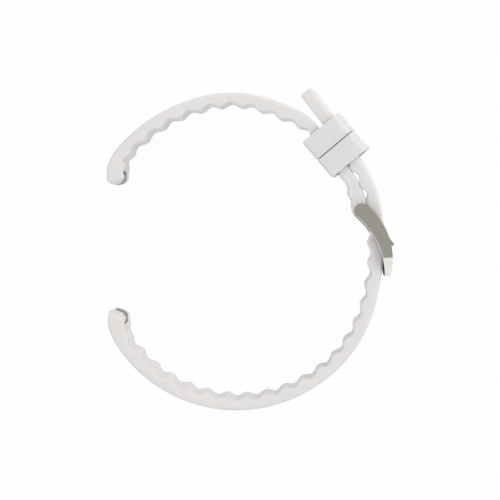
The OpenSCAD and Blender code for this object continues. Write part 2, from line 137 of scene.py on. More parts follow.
def disc(name: str, radius: float, at: Sequence[float], length: float, sides: int) -> Piece:
    """A cylinder across the strap, of a radius, about a middle, and so long and with so many sides."""
    return start(name, Shape.CYLINDER, (2 * radius, 2 * radius, length), (at[0], at[1], 0), sides=sides)


def along_y(a: Vector, b: Vector) -> bool:
    """Whether an edge between two places runs along y."""
    return abs(a.x - b.x) < SAME and abs(a.z - b.z) < SAME


class Edit:
    """Edit mode on one mesh, with corners, edges and faces picked by their place."""

    def __init__(self, obj: Piece) -> None:
        """Remember the object."""
        self.obj = obj

    def __enter__(self) -> "Edit":
        """Enter edit mode with nothing selected.

        Returns:
            This editor.
        """
        take(self.obj)
        bpy.ops.object.mode_set(mode="EDIT")
        OPS.select_mode(type="VERT")
        OPS.select_all(action="DESELECT")
        return self

    def __exit__(self, *_: object) -> None:
        """Go back to object mode."""
        bpy.ops.object.mode_set(mode="OBJECT")

    def _pick(self, mode: str, test: Callable[..., bool]) -> None:
        """Select parts of the mesh.

        Args:
            mode: VERT, EDGE or FACE.
            test: Takes a part and says whether it is picked.
        """
        OPS.select_mode(type=mode)
        OPS.select_all(action="DESELECT")
        bm = bmesh.from_edit_mesh(self.obj.data)
        for part in {"VERT": bm.verts, "EDGE": bm.edges, "FACE": bm.faces}[mode]:
            if test(part):
                part.select_set(True)
        bm.select_flush_mode()
        bmesh.update_edit_mesh(self.obj.data)

    def corners(self, test: Callable[[Vector], bool] = lambda p: True) -> None:
        """Select the corners whose place passes a test, or all of them."""
        self._pick("VERT", lambda v: test(v.co))

    def edges(self, test: Callable[[Vector, Vector], bool], above: float = 0) -> None:
        """Select the edges whose ends pass a test and whose faces meet at an angle or more, in degrees."""
        least = radians(above)
        self._pick("EDGE", lambda e: e.calc_face_angle(0) >= least and test(*(v.co for v in e.verts)))

    def faces(self, test: Callable[[Vector, Vector], bool]) -> None:
        """Select the faces whose middle and normal pass a test."""
        self._pick("FACE", lambda f: test(f.calc_center_median(), f.normal))

    def move(self, by: Point) -> None:
        """Move what is selected."""
        bpy.ops.transform.translate(value=by)

    def scale(self, factors: Point, about: Point) -> None:
        """Scale what is selected about a point."""
        bpy.ops.transform.resize(value=factors, center_override=about)

    def turn(self, degrees: float, about: Point) -> None:
        """Turn what is selected to the left about an upright axis."""
        bpy.ops.transform.rotate(value=-radians(degrees), orient_axis="Z", center_override=about)

    def extrude(self, by: Point) -> None:
        """Extrude what is selected and move it."""
        OPS.extrude_region_move(TRANSFORM_OT_translate={"value": by})

    def round_edges(self, radius: float, steps: int, slot: int = -1) -> None:
        """Round the selected edges; slot is the material slot of the new faces."""
        OPS.bevel(offset=radius, segments=steps, profile=0.5, clamp_overlap=False, material=slot)

    def round_corners(self, radius: float, steps: int) -> None:
        """Round the selected corners of a flat outline."""
        OPS.bevel(affect="VERTICES", offset=radius, segments=steps)

    def slice_off(self, at: Point, way: Point) -> None:
        """Cut away all that lies beyond a plane, and close the cut."""
        OPS.select_all(action="SELECT")
        OPS.bisect(plane_co=at, plane_no=way, use_fill=True, clear_outer=True, threshold=1e-5)

    def paint(self, slot: int) -> None:
        """Put the selected faces in a material slot.

        Args:
            slot: The slot's number.
        """
        bm = bmesh.from_edit_mesh(self.obj.data)
        for f in bm.faces:
            if f.select:
                f.material_index = slot
        bmesh.update_edit_mesh(self.obj.data)

    def merge_flats(self) -> None:
        """Join faces that lie in one plane."""
        OPS.select_all(action="SELECT")
        OPS.dissolve_limited(angle_limit=radians(0.3))

    def tidy(self) -> None:
        """Merge doubled corners and turn all faces outwards."""
        OPS.select_mode(type="VERT")
        OPS.select_all(action="SELECT")
        OPS.remove_doubles(threshold=0.0005)
        OPS.normals_make_consistent(inside=False)
        OPS.select_all(action="DESELECT")


def apply_modifier(obj: Piece, kind: str, **settings: object) -> None:
    """Give an object a modifier and apply it at once.

    Args:
        obj: The object.
        kind: The modifier's type.
        settings: Its settings by name.
    """
    take(obj)
    modifier = obj.modifiers.new(kind.lower(), kind)
    for key, value in settings.items():
        setattr(modifier, key, value)
    bpy.ops.object.modifier_apply(modifier=modifier.name)


def carve(obj: Piece, *tools: Piece, how: str = "DIFFERENCE") -> None:
    """Cut an object by others or join it to them, and throw them away.

    Args:
        obj: The piece.
        tools: The shapes that work on it.
        how: DIFFERENCE or UNION.
    """
    for tool in tools:
        apply_modifier(obj, "BOOLEAN", operation=how, object=tool, solver="EXACT")
        bpy.data.objects.remove(tool)


def flared_tool(
    name: str, opening: Spot, corner: float, at: Point, depth: float, flare: float, up: float, sides: int = 6
) -> Piece:
    """A prism with rounded corners that widens at a face, so that what it cuts gets a soft rim.

    Args:
        name: Name of the tool.
        opening: Its extent along x and z.
        corner: Radius of its corners.
        at: The opening's middle, on the face it is cut into.
        depth: How far it goes into the piece.
        flare: Radius of the rim.
        up: 1 where the face looks towards +y, -1 where it looks towards -y.
        sides: Segments of each rounded corner.

    Returns:
        The tool.
    """
    body = depth - flare
    middle = (at[0], at[1] - up * (flare + body / 2), at[2])
    tool = start(name, Shape.CUBE, (opening[0], body, opening[1]), middle)
    with Edit(tool) as edit:
        edit.edges(along_y)
        edit.round_edges(corner, sides)
        edit.faces(lambda m, n: n.y * up > 0.9)
        wide, level = 0.0, flare
        for turn in (30, 60, 75, 90):
            lower = flare * (1 - sin(radians(turn)))
            wider = flare * (1 - cos(radians(turn)))
            edit.extrude((0, up * (level - lower), 0))
            along, across = ((side + 2 * wider) / (side + 2 * wide) for side in opening)
            edit.scale((along, 1, across), at)
            level, wide = lower, wider
        edit.extrude((0, up, 0))
        edit.tidy()
    return tool


def arc(centre: Sequence[float], radius: float, first: float, last: float, steps: int) -> list[Spot]:
    """Points along an arc from a first to a last direction, in degrees, in equal steps."""
    angles = (radians(first + (last - first) * i / steps) for i in range(steps + 1))
    return [(centre[0] + radius * cos(a), centre[1] + radius * sin(a)) for a in angles]


def open_edges(obj: Piece) -> int:
    """How many edges of a mesh don't lie between exactly two faces.

    Args:
        obj: The piece with the mesh.

    Returns:
        The number of such edges.
    """
    bm = bmesh.new()
    bm.from_mesh(obj.data)
    found = sum(1 for e in bm.edges if len(e.link_faces) != 2)
    bm.free()
    return found


def coat(obj: Piece, *finishes: "Finish") -> None:
    """Give a piece its finishes, one material slot each."""
    for finish in finishes:
        obj.data.materials.append(finish.material())


def hand_over(obj: Piece, node: str, body: str, degrees: float) -> None:
    """Lay a finished piece down in the strap's frame, shade it, tie it to its body and hide the node that it
    replaces.

    Args:
        obj: The piece, in millimetres in the clasp frame.
        node: The node that it replaces.
        body: The body it rides on.
        degrees: Edges above this angle stay sharp, and large faces stay flat.
    """
    low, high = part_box("buckle_bar_tube")
    turn = Matrix.Rotation(CLASP_TURN, 3, "Z")
    take(obj)
    obj.rotation_euler = (0, 0, CLASP_TURN)
    obj.location = (Vector(low) + Vector(high)) / 2 - turn @ Vector((*BAR_AXIS, 0)) * MM
    obj.scale = (MM, MM, MM)
    bpy.ops.object.transform_apply(location=True, rotation=True, scale=True)
    bpy.ops.object.shade_smooth_by_angle(angle=radians(degrees))
    apply_modifier(obj, "WEIGHTED_NORMAL", keep_sharp=True, weight=50)
    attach(obj, body)
    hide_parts(node)
    faces, gaps = len(obj.data.polygons), open_edges(obj)
    LOG.info("%s: %d faces, %d open edges, rides on %s", obj.name, faces, gaps, body)


# ---- node trees


class Board:
    """A node tree whose nodes are laid out from left to right as they are added."""

    def __init__(self, tree: bpy.types.NodeTree) -> None:
        """Start on an empty tree."""
        self.tree = tree
        self.count = 0

    def feed(self, socket: Socket, value: object) -> None:
        """Lead an output into an input, or set the input to a value.

        Args:
            socket: The input.
            value: An output or a plain value.
        """
        if isinstance(value, Socket):
            self.tree.links.new(value, socket)
        else:
            socket.default_value = value

    def node(self, kind: str, **settings: object) -> Node:
        """Add a node.

        Args:
            kind: Its type without the ShaderNode in front.
            settings: Properties by name, and values or outputs for its inputs, by the input's name
                with _ for a space.

        Returns:
            The node.
        """
        made = self.tree.nodes.new(kind if kind.startswith("NodeGroup") else "ShaderNode" + kind)
        made.location = (220 * (self.count // 3), -320 * (self.count % 3))
        self.count += 1
        for key, value in settings.items():
            if hasattr(made, key):
                setattr(made, key, value)
            else:
                words = key.replace("_", " ").lower()
                self.feed(next(s for s in made.inputs if s.enabled and s.name.lower() == words), value)
        return made

    def maths(self, what: str, a: Socket | float, b: Socket | float, clamp: bool = False) -> Socket:
        """Add a Math node.

        Args:
            what: The operation.
            a: First value or output.
            b: Second value or output.
            clamp: Whether the result is kept between 0 and 1.

        Returns:
            Its result.
        """
        made = self.node("Math", operation=what, use_clamp=clamp)
        self.feed(made.inputs[0], a)
        self.feed(made.inputs[1], b)
        return made.outputs[0]

    def blend(self, amount: Socket, a: Socket | Colour, b: Socket | Colour) -> Socket:
        """Mix two colours.

        Args:
            amount: How much of the second.
            a: First colour or output.
            b: Second colour or output.

        Returns:
            The mixed colour.
        """
        made = self.node("Mix", data_type="RGBA")
        for index, value in ((0, amount), (6, a), (7, b)):
            self.feed(made.inputs[index], value)
        return made.outputs[2]

    def noise(self, place: Socket, scale: Socket | float, **settings: float) -> Socket:
        """The value of a Noise Texture at a place."""
        return self.node("TexNoise", Vector=place, Scale=scale, **settings).outputs[0]

    def seen(self) -> Socket:
        """Where the camera, a reflection or glass sees the surface.

        Returns:
            1 where it is seen, and 0 where it only lights.
        """
        path = self.node("LightPath").outputs
        straight = self.maths("ADD", path["Is Camera Ray"], path["Is Glossy Ray"])
        return self.maths("ADD", straight, path["Is Transmission Ray"], clamp=True)


@dataclass(frozen=True)
class Effect:
    """A shader group that several materials share, with its inputs' defaults and its outputs."""

    name: str
    takes: tuple[tuple[str, float], ...]
    gives: tuple[str, ...]
    build: Callable[[Board, Outputs], tuple[Socket, ...]]

    def tree(self) -> bpy.types.NodeTree:
        """Build the group's node tree at its first use.

        Returns:
            The node tree.
        """
        found = bpy.data.node_groups.get(self.name)
        if found is not None:
            return found
        tree = bpy.data.node_groups.new(self.name, "ShaderNodeTree")
        tree.interface.new_socket(name="Vector", in_out="INPUT", socket_type="NodeSocketVector")
        for label, value in self.takes:
            socket = tree.interface.new_socket(name=label, in_out="INPUT", socket_type="NodeSocketFloat")
            socket.default_value = value
        for label in self.gives:
            tree.interface.new_socket(name=label, in_out="OUTPUT", socket_type="NodeSocketFloat")
        board = Board(tree)
        results = self.build(board, board.node("NodeGroupInput").outputs)
        board.node("NodeGroupOutput", **dict(zip(self.gives, results)))
        return tree

    def use(self, board: Board, place: Socket, **values: float) -> Outputs:
        """Place the group in a material by its coordinates and values, and return its outputs."""
        return board.node("Group", node_tree=self.tree(), Vector=place, **values).outputs


def _build_grain(board: Board, given: Outputs) -> tuple[Socket, Socket]:
    """Fine moulded grain over a broader unevenness of the skin.

    Args:
        board: The group's board.
        given: The group's inputs.

    Returns:
        The height, and the fine grain as a mask.
    """
    place = given["Vector"]
    fine = board.noise(place, given["Grain"], Detail=3.0, Roughness=0.6)
    pitted = board.maths("MULTIPLY", given["Grain"], 0.45)
    pits = board.node("TexVoronoi", feature="F1", distance="EUCLIDEAN", Vector=place, Scale=pitted)
    broad = board.noise(place, given["Unevenness"], Detail=2.0, Roughness=0.45)
    pit_depth = board.maths("MULTIPLY", board.maths("MINIMUM", pits.outputs["Distance"], 0.5), 0.6)
    surface = board.maths("ADD", board.maths("MULTIPLY", fine, 0.5), pit_depth)
    return board.maths("ADD", surface, board.maths("MULTIPLY", broad, given["Broad Share"])), fine


def _build_handling(board: Board, given: Outputs) -> tuple[Socket]:
    """Patches where hands and wear have made a surface a little smoother or duller.

    Args:
        board: The group's board.
        given: The group's inputs.

    Returns:
        The patches as a mask.
    """
    patch = board.noise(given["Vector"], given["Scale"], Detail=4.0, Roughness=0.55, Distortion=0.6)
    streaked = board.maths("MULTIPLY", given["Scale"], 4.7)
    streak = board.noise(given["Vector"], streaked, Detail=2.0, Roughness=0.5)
    both = board.maths("MULTIPLY", patch, streak)
    return (board.maths("SUBTRACT", board.maths("MULTIPLY", both, 5.0), 0.75, clamp=True),)


def _build_dust(board: Board, given: Outputs) -> tuple[Socket]:
    """Sparse specks on a surface.

    Args:
        board: The group's board.
        given: The group's inputs.

    Returns:
        The specks as a mask.
    """
    specks = board.node("TexVoronoi", feature="F1", Vector=given["Vector"], Scale=given["Scale"])
    where = board.noise(given["Vector"], board.maths("MULTIPLY", given["Scale"], 0.22), Detail=1.0)
    near = board.maths("LESS_THAN", specks.outputs["Distance"], given["Size"])
    return (board.maths("MULTIPLY", near, board.maths("GREATER_THAN", where, 0.62)),)


def _build_lines(board: Board, given: Outputs) -> tuple[Socket, Socket]:
    """Fine lines along one direction, as left by brushing, turning or drawing.

    Args:
        board: The group's board.
        given: The group's inputs.

    Returns:
        The height, and the lines as a mask.
    """
    turned = board.node("VectorRotate", rotation_type="Z_AXIS", Vector=given["Vector"], Angle=given["Angle"])
    parts = board.node("SeparateXYZ", Vector=turned.outputs[0]).outputs
    ways = (("X", "Along"), ("Y", "Across"), ("Z", "Lift"))
    scaled = {axis: board.maths("MULTIPLY", parts[axis], given[way]) for axis, way in ways}
    place = board.node("CombineXYZ", **scaled).outputs[0]
    lines = board.noise(place, 1.0, Detail=5.0, Roughness=0.7)
    marks = board.noise(place, 0.23, Detail=2.0, Roughness=0.5)
    deep = board.maths("GREATER_THAN", marks, 0.66)
    return board.maths("SUBTRACT", lines, board.maths("MULTIPLY", deep, 0.35)), lines


GRAIN = Effect(
    "moulded_grain",
    (("Grain", 9000.0), ("Unevenness", 600.0), ("Broad Share", 1.5)),
    ("Height", "Mask"),
    _build_grain,
)
HANDLING = Effect("handling", (("Scale", 120.0),), ("Mask",), _build_handling)
DUST = Effect("dust", (("Scale", 900.0), ("Size", 0.09)), ("Mask",), _build_dust)
LINES = Effect(
    "fine_lines",
    (("Angle", 0.0), ("Along", 400.0), ("Across", 16000.0), ("Lift", 16000.0)),
    ("Height", "Mask"),
    _build_lines,
)


# ---- finishes


@dataclass(frozen=True)
class Finish:
    """A material that is built once and shared by the pieces that have it."""

    name: str

    def material(self) -> bpy.types.Material:
        """Build the material at its first use.

        Returns:
            The material.
        """
        found = bpy.data.materials.get(self.name)
        if found is not None:
            return found
        made = bpy.data.materials.new(self.name)
        made.use_nodes = True
        made.node_tree.nodes.clear()
        board = Board(made.node_tree)
        board.node("OutputMaterial", Surface=self.dress(board))
        return made

    def dress(self, board: Board) -> Socket:
        """Build the nodes and return the shader's output."""
        raise NotImplementedError


@dataclass(frozen=True)
class Silicone(Finish):
    """Matt moulded silicone rubber."""

    base: Colour
    shade: Colour
    roughness: float
    grain: float = 9000.0
    relief: float = 0.00001
    glow: float = 0.3
    dust: Colour = (0.55, 0.52, 0.48, 1)
    dusty: float = 0.35
    dulled: float = 0.25
    polished: float = 0.12
    uneven: float = 0.08

    def dress(self, board: Board) -> Socket:
        """Grain, slight tone drift, handled patches and a few specks of dust.

        Args:
            board: The material's board.

        Returns:
            The shader's output.
        """
        place = board.node("TexCoord").outputs["Object"]
        grain = GRAIN.use(board, place, Grain=self.grain, Unevenness=650.0, Broad_Share=1.6)
        handled = HANDLING.use(board, place, Scale=140.0)["Mask"]
        specks = DUST.use(board, place, Scale=1100.0, Size=0.1)["Mask"]
        tone = board.blend(board.noise(place, 70.0, Detail=3.0), self.base, self.shade)
        tone = board.blend(board.maths("MULTIPLY", handled, self.dulled), tone, self.shade)
        tone = board.blend(board.maths("MULTIPLY", specks, self.dusty), tone, self.dust)
        rough = board.maths("SUBTRACT", self.roughness, board.maths("MULTIPLY", handled, self.polished))
        rough = board.maths("ADD", rough, board.maths("MULTIPLY", grain["Mask"], self.uneven), clamp=True)
        bump = board.node("Bump", Strength=0.55, Distance=self.relief, Height=grain["Height"])
        shader = board.node(
            "BsdfPrincipled",
            Metallic=0.0,
            IOR=1.41,
            Subsurface_Weight=self.glow,
            Subsurface_Radius=(1.0, 0.85, 0.75),
            Subsurface_Scale=0.0025,
            Base_Color=tone,
            Roughness=rough,
            Normal=bump.outputs[0],
        )
        return shader.outputs[0]


@dataclass(frozen=True)
class Steel(Finish):
    """Bare steel with fine lines from its making, at an angle in degrees and so many a metre."""

    base: Colour
    dull: Colour
    roughness: float
    angle: float = 0.0
    lines: Point = (300.0, 14000.0, 14000.0)
    relief: float = 0.000002
    dulled: float = 0.3
    blurred: float = 0.1
    uneven: float = 0.1

    def dress(self, board: Board) -> Socket:
        """Lines in the relief and the gloss, with handled patches over them.

        Args:
            board: The material's board.

        Returns:
            The shader's output.
        """
        place = board.node("TexCoord").outputs["Object"]
        along, across, lift = self.lines
        turned = radians(self.angle)
        lines = LINES.use(board, place, Angle=turned, Along=along, Across=across, Lift=lift)
        handled = HANDLING.use(board, place, Scale=220.0)["Mask"]
        tone = board.blend(lines["Mask"], self.base, self.dull)
        tone = board.blend(board.maths("MULTIPLY", handled, self.dulled), tone, self.dull)
        rough = board.maths("ADD", self.roughness, board.maths("MULTIPLY", handled, self.blurred))
        rough = board.maths("ADD", rough, board.maths("MULTIPLY", lines["Mask"], self.uneven), clamp=True)
        normal = board.node("Bump", Strength=0.5, Distance=self.relief, Height=lines["Height"]).outputs[0]
        shader = board.node("BsdfPrincipled", Metallic=1.0, Base_Color=tone, Roughness=rough, Normal=normal)
        return shader.outputs[0]


STRAP_RUBBER = Silicone("strap_silicone", (0.81, 0.795, 0.785, 1), (0.775, 0.755, 0.745, 1), 0.5)
# Darker rubber for the walls of the watch-end recess and the nail slot: painted shade.
RECESS_SHADE_RUBBER = Silicone("recess_painted_shade_silicone", (0.5, 0.485, 0.47, 1), (0.42, 0.405, 0.39, 1), 0.6, glow=0.0)
KEEPER_RUBBER = Silicone(
    "keeper_silicone", (0.785, 0.77, 0.76, 1), (0.755, 0.74, 0.73, 1), 0.42, grain=12000.0, relief=0.000007
)
SATIN_STEEL = Steel("satin_steel", (0.306, 0.294, 0.264, 1), (0.266, 0.254, 0.224, 1), 0.3, angle=60)
POLISHED_STEEL = Steel("polished_steel", (0.7, 0.69, 0.66, 1), (0.64, 0.63, 0.6, 1), 0.12, relief=0.0000005)
# A much darker copy of the steel for the frame's hollow faces: painted dark reflection.
HOLLOW_SHADE_STEEL = Steel("hollow_shade_steel", (0.15, 0.145, 0.135, 1), (0.12, 0.115, 0.105, 1), 0.42, angle=-30)
TURNED_STEEL = Steel(
    "turned_steel", (0.52, 0.51, 0.5, 1), (0.44, 0.43, 0.42, 1), 0.22, lines=(500.0, 500.0, 16000.0)
)
SPRING_WIRE = Steel(
    "spring_wire", (0.4, 0.39, 0.38, 1), (0.32, 0.31, 0.3, 1), 0.3, lines=(3000.0, 3000.0, 3000.0)
)


# ---- rubber halves


def ease(t: float) -> float:
    """Smooth step from 0 to 1."""
    c = min(1.0, max(0.0, t))
    return c * c * (3 - 2 * c)


def set_back(distance: float, radius: float) -> float:
    """How far a rounded corner stands back.

    Args:
        distance: Distance from the end.
        radius: The corner's radius.

    Returns:
        The set-back, which is 0 past the corner.
    """
    if distance >= radius:
        return 0.0
    return radius - sqrt(max(0.0, radius * radius - (radius - distance) ** 2))


@dataclass(frozen=True)
class Swell:
    """An amount that grows along a half from a start, and fades out before an end."""

    amount: float
    end: float
    fade: float
    start: float = -99.0
    growth: float = 1.0

    def at(self, s: float) -> float:
        """What there is of it at a distance from the keepers' seam."""
        return self.amount * ease((s - self.start) / self.growth) * ease((self.end - s) / self.fade)


@dataclass(frozen=True)
class Bend:
    """A stretch of a path: its length, and its radius or 0 where it is straight."""

    length: float
    radius: float


@dataclass(frozen=True)
class Pose:
    """A point and a heading in radians."""

    x: float
    y: float
    heading: float

    def onward(self, distance: float, radius: float) -> "Pose":
        """The pose after a distance along an arc.

        Args:
            distance: Length along the arc.
            radius: The arc's radius, positive to the left, or 0 for a straight line.

        Returns:
            The pose there.
        """
        if radius == 0:
            return Pose(*self.aside(1, 0.0, distance), self.heading)
        turned = self.heading + distance / radius
        return Pose(
            self.x + radius * (sin(turned) - sin(self.heading)),
            self.y - radius * (cos(turned) - cos(self.heading)),
            turned,
        )

    def follow(self, bends: Sequence[Bend], distance: float) -> "Pose":
        """The pose after a distance along several bends.

        Args:
            bends: The bends in order, the last one without an end.
            distance: Length along them.

        Returns:
            The pose there.
        """
        here = self
        for bend in bends[:-1]:
            if distance <= bend.length:
                return here.onward(distance, bend.radius)
            here = here.onward(bend.length, bend.radius)
            distance -= bend.length
        return here.onward(distance, bends[-1].radius)

    def aside(self, side: int, depth: float, ahead: float = 0.0) -> Spot:
        """A point at a depth to one side, and a distance ahead."""
        along, across = cos(self.heading), sin(self.heading)
        return self.x + ahead * along - side * depth * across, self.y + ahead * across + side * depth * along


@dataclass(frozen=True)
class Settle:
    """How the soft parts have settled at the clasp: they lean about the strap's length, keepers skew."""

    lean: float = 2.6
    skew: float = 0.9
    onset: float = 8.0
    lowest: float = -14.0
    rising: float = 6.0

    def ease_over(self, obj: Piece, share: float = 1, free: float = 8, until: float = 22) -> None:
        """Lean a piece, most of all at the keepers, and upright again on both sides of them.

        Args:
            obj: The piece, in the clasp's frame.
            share: The part of the whole lean that it takes.
            free: How far before the seam the piece begins to stand upright again.
            until: How far beyond the seam it stands upright again.
        """
        slope = share * tan(radians(self.lean))
        along = Swell(1.0, until, 0.9 * until, -free - 6, self.onset)
        for corner in obj.data.vertices:
            x, y, z = corner.co
            corner.co.y = y - slope * z * along.at(x) * ease((y - self.lowest) / self.rising)

    def skew_over(self, obj: Piece) -> None:
        """Skew a keeper a little along the strap.

        Args:
            obj: The keeper.
        """
        slope = tan(radians(self.skew))
        for corner in obj.data.vertices:
            corner.co.x -= slope * corner.co.z


SETTLED = Settle()


@dataclass
class RubberHalf:
    """One half of the strap: a ribbed band along a bent path, with a recessed watch end.

    Distances s along it count from the keepers' seam, and grow towards the watch.
    """

    name: str
    node: str
    side: int
    face_y: float
    to_watch: tuple[Bend, ...]
    to_clasp: tuple[Bend, ...]
    clasp_end: float
    watch_end: float
    rib_pitch: float
    rib_crest: float
    ribs_from: Spot
    widens: Spot
    clasp_corners: Point
    end_corners: Spot
    fuller: tuple[Swell, ...]
    lifted: tuple[Swell, ...] = ()
    leans: Point = (1.0, 30.0, 22.0)
    skin: float = 2.05
    rib_rise: float = 0.8
    rib_fade: float = 5.0
    rows_per_rib: int = 12
    watch_thickness: float = 3.5
    smooth_end: float = 4.5
    smoothing: float = 4.0
    half_widths: Spot = (9.0, 11.0)
    wrist_side: float = 1.2
    outer_round: float = 0.7
    wrist_round: float = 0.35
    side_round: float = 1.6
    recess: Spot = (3.8, 10.0)
    recess_skin: float = 0.8
    recess_open: float = 3.0
    recess_rounds: Spot = (0.45, 0.22)
    nail_slot: Spot = (1.5, 4.6)
    slot_inset: float = 2.9
    slot_rounds: Spot = (0.3, 0.12)
    bar_inset: float = 2.1
    bar_depth: float = 1.95
    pin_bore: float = 0.6
    pin_reach: float = 1.5

    def station(self, s: float) -> Pose:
        """The pose on the outer face, heading for the watch.

        Args:
            s: Distance along the half from x = 0, positive towards the watch.

        Returns:
            The pose there.
        """
        near = Pose(0, self.face_y, pi if (s >= 0) == (self.side > 0) else 0)
        if s >= 0:
            return near.follow(self.to_watch, s)
        back = near.follow(self.to_clasp, -s)
        return Pose(back.x, back.y, back.heading + self.side * pi)

    def ribbed(self, s: float) -> float:
        """Thickness of the ribbed stretch.

        Args:
            s: Distance along the half from x = 0, positive towards the watch.

        Returns:
            The thickness there.
        """
        amount = Swell(1.0, self.watch_end - self.smooth_end, self.rib_fade, *self.ribs_from).at(s)
        wave = cos(2 * pi * (s - self.rib_crest) / self.rib_pitch)
        return self.skin + self.rib_rise / 2 + self.rib_rise / 2 * amount * wave

    def thickness(self, s: float) -> float:
        """Thickness of the half: ribs, then the smooth watch end, and fuller in places.

        Args:
            s: Distance along the half from x = 0, positive towards the watch.

        Returns:
            The thickness there.
        """
        ribs = self.ribbed(s)
        smooth = ease((s - self.watch_end + self.smooth_end + self.smoothing) / self.smoothing)
        return ribs + (self.watch_thickness - ribs) * smooth + sum(swell.at(s) for swell in self.fuller)

    def half_width(self, s: float) -> float:
        """Half the width of the half.

        Args:
            s: Distance along the half from x = 0, positive towards the watch.

        Returns:
            Half the width there.
        """
        narrow, wide = self.half_widths
        first, length = self.widens
        return narrow + (wide - narrow) * ease((s - first) / length)

    def rows(self) -> list[float]:
        """Distances of the cross-sections, close together where an end is rounded.

        Returns:
            The distances in order.
        """
        near = max(self.clasp_corners)
        far = max(*self.end_corners, self.side_round)
        bow = [1 - cos(radians(a)) for a in range(0, 91, 15)]
        first, last = self.clasp_end + near, self.watch_end - far
        count = ceil((last - first) / (self.rib_pitch / self.rows_per_rib))
        middle = [first + (last - first) * i / count for i in range(1, count)]
        opening = [self.clasp_end + near * k for k in bow]
        return opening + middle + [self.watch_end - far * k for k in reversed(bow)]

    def loft(self) -> Piece:
        """The straight band from x = 0 on: a rounded section extruded row by row.

        Returns:
            The band.
        """
        rows = self.rows()
        t0, w0 = self.thickness(rows[0]), self.half_width(rows[0])
        band = start(self.name, Shape.PLANE, (1, 1, 1), (0, 0, 0), (0, pi / 2, 0))
        with Edit(band) as edit:
            edit.corners()
            edit.scale((1, t0, 2 * w0), (0, 0, 0))
            edit.move((0, self.side * t0 / 2, 0))
            edit.corners(lambda p: p.y * self.side < 0.1)
            edit.round_corners(self.outer_round, 6)
            edit.corners(lambda p: p.y * self.side > t0 - 0.1)
            edit.round_corners(self.wrist_round, 3)
            edit.corners()
            for before, here in zip(rows, rows[1:]):
                edit.extrude((here - before, 0, 0))
                mark = (before + here) / 2 - self.clasp_end
                edit.corners(lambda p: p.x > mark and p.y * self.side > self.wrist_side)
                edit.move((0, self.side * (self.thickness(here) - self.thickness(before)), 0))
                wider = self.half_width(here) - self.half_width(before)
                for hand in (-1, 1):
                    edit.corners(lambda p: p.x > mark and p.z * hand > 0)
                    edit.move((0, 0, hand * wider))
                edit.corners(lambda p: p.x > mark)
            for s in rows:
                self.round_off(edit, s, s - self.clasp_end, self.clasp_corners)
                self.round_off(edit, s, self.watch_end - s, (*self.end_corners, self.side_round))
            edit.tidy()
        return band

    def round_off(self, edit: Edit, s: float, distance: float, corners: Point) -> None:
        """Draw in a row of the straight band near one of its ends.

        Args:
            edit: The band in edit mode.
            s: Where the row is.
            distance: How far it is from the end.
            corners: The end's radii: outer corner, wrist corner and side corner.
        """
        if distance >= max(corners):
            return
        outer, wrist, flank = (set_back(distance, radius) for radius in corners)
        t, x = self.thickness(s), s - self.clasp_end
        flat = (t - wrist - outer) / t
        pivot = outer / (1 - flat) if flat < 1 else 0
        edit.corners(lambda p: abs(p.x - x) < 0.8 * CLOSE)
        edit.scale((1, flat, 1 - flank / self.half_width(s)), (x, self.side * pivot, 0))

    def bend(self, band: Piece, step: float = 0.5) -> None:
        """Bend the straight band along its path with a Curve modifier.

        Args:
            band: The band.
            step: Distance between the path's points.
        """
        length = self.watch_end - self.clasp_end
        steps = ceil(length / step)
        curve = bpy.data.curves.new(self.name + "_path", "CURVE")
        curve.dimensions = "2D"
        spline = curve.splines.new("POLY")
        spline.points.add(steps)
        for i in range(steps + 1):
            s = self.clasp_end + length * i / steps
            lift = sum(swell.at(s) for swell in self.lifted)
            spline.points[i].co = (*self.station(s).aside(self.side, -lift), 0, 1)
        guide = bpy.data.objects.new(curve.name, curve)
        bpy.context.scene.collection.objects.link(guide)
        apply_modifier(band, "CURVE", object=guide, deform_axis="POS_X")
        bpy.data.objects.remove(guide)

    def straight_tools(self) -> Iterator[Piece]:
        """Cutters for the straight band: the recess for the watch's lug, and the nail slot beside it.

        Returns:
            The cutters.
        """
        end, wrist = self.watch_end - self.clasp_end, self.side * self.watch_thickness
        length, width = self.recess
        depth = self.watch_thickness - self.recess_skin
        opening = (length + self.recess_open, width)
        at = (end - length + opening[0] / 2, wrist, 0)
        corner, rim = self.recess_rounds
        yield flared_tool("recess", opening, corner, at, depth, rim, self.side)
        x, z = end - self.slot_inset - self.nail_slot[0] / 2, width / 2 - 1 + self.nail_slot[1] / 2
        depth, (corner, rim) = self.watch_thickness - self.bar_depth, self.slot_rounds
        yield flared_tool("nail_slot", self.nail_slot, corner, (x, wrist, z), depth, rim, self.side)

    def shade_recess(self, band: Piece) -> None:
        """Put the walls of the recess and of the nail slot in the second slot, a darker rubber that is
        painted shade.

        Args:
            band: The straight band, with its recess cut.
        """
        end, half = self.watch_end - self.clasp_end, self.recess[1] / 2
        deep, shallow = self.recess_skin - 0.02, self.watch_thickness - 0.2
        slot_start = end - self.slot_inset - 0.05 - self.nail_slot[0]
        with Edit(band) as edit:
            for first, low, high in (
                (end - self.recess[0] - 0.2, -half - 0.1, half + 0.1),
                (slot_start, half - 0.1, half - 0.9 + self.nail_slot[1]),
            ):
                edit.faces(
                    lambda m, n: first < m.x < end - 0.5
                    and low < m.z < high
                    and deep < m.y * self.side < shallow
                )
                # Painted shade: these walls take the darker rubber of the second slot.
                edit.paint(1)

    def bent_tools(self) -> Iterator[Piece]:
        """Cutters for the bent band: the bores that hold the spring bar's pins."""
        at = self.station(self.watch_end - self.bar_inset).aside(self.side, self.bar_depth)
        yield disc("pin_bores", self.pin_bore, at, self.recess[1] + 2 * self.pin_reach, 32)

    def make(self) -> None:
        """Model the half and hand it over."""
        band = self.loft()
        coat(band, STRAP_RUBBER, RECESS_SHADE_RUBBER)
        carve(band, *self.straight_tools())
        self.shade_recess(band)
        self.bend(band)
        carve(band, *self.bent_tools())
        with Edit(band) as edit:
            edit.tidy()
        SETTLED.ease_over(band, *self.leans)
        hand_over(band, self.node, "strap", 40)


